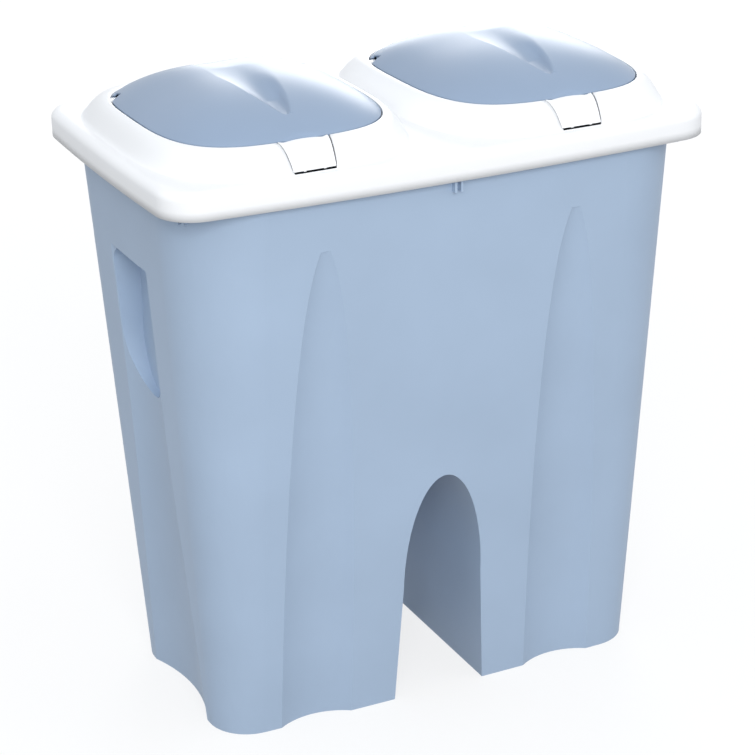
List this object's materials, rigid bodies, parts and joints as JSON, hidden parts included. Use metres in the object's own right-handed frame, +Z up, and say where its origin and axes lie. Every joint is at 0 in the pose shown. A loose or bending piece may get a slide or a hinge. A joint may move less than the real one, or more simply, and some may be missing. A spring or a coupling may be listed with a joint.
{
  "type": "double recycling bin",
  "caption": "Free-standing double recycling bin: fluted two-legged tub with an arched tunnel, lift-off domed lid and a pop-up flap with a press latch over each compartment.",
  "frame": {"origin": "on the floor, in the middle of the part's outline", "axes": "+X along the long side, from the left to the right compartment; front (latch side) is -Y; +Z up"},
  "size_m": [0.5298, 0.3414, 0.5958],
  "materials": {
    "tub_plastic": "fine satin",
    "divider_plastic": "fine satin",
    "lid_plastic": "satin",
    "flap_plastic": "satin",
    "button_plastic": "satin",
    "pin_steel": "drawn",
    "spring_steel": "drawn wire"
  },
  "bodies": {
    "tub": {"tub": "tub_plastic", "divider_panel": "divider_plastic"},
    "lid": {"lid_frame": "lid_plastic", "left_hinge_pins": "pin_steel", "right_hinge_pins": "pin_steel", "left_button_pin": "pin_steel", "right_button_pin": "pin_steel", "left_flap_springs": "spring_steel", "right_flap_springs": "spring_steel", "left_button_spring": "spring_steel", "right_button_spring": "spring_steel"},
    "left_flap": {"left_flap": "flap_plastic"},
    "right_flap": {"right_flap": "flap_plastic"},
    "left_latch_button": {"left_latch_button": "button_plastic"},
    "right_latch_button": {"right_latch_button": "button_plastic"}
  },
  "joints": [
    {"name": "lid_lift", "type": "slide", "parent": "tub", "child": "lid", "axis": [0, 0, 1], "range_m": [0, 0.12]},
    {"name": "left_flap_hinge", "type": "hinge", "parent": "lid", "child": "left_flap", "pos_m": [-0.128, 0.067, 0.563], "axis": [-1, 0, 0], "range_deg": [0, 80]},
    {"name": "right_flap_hinge", "type": "hinge", "parent": "lid", "child": "right_flap", "pos_m": [0.128, 0.067, 0.563], "axis": [-1, 0, 0], "range_deg": [0, 80]},
    {"name": "left_button_press", "type": "hinge", "parent": "lid", "child": "left_latch_button", "pos_m": [-0.128, -0.1345, 0.559], "axis": [1, 0, 0], "range_deg": [0, 8], "stiffness_Nm_per_rad": 0.2, "springref_deg": -5.73},
    {"name": "right_button_press", "type": "hinge", "parent": "lid", "child": "right_latch_button", "pos_m": [0.128, -0.1345, 0.559], "axis": [1, 0, 0], "range_deg": [0, 8], "stiffness_Nm_per_rad": 0.2, "springref_deg": -5.73}
  ]
}
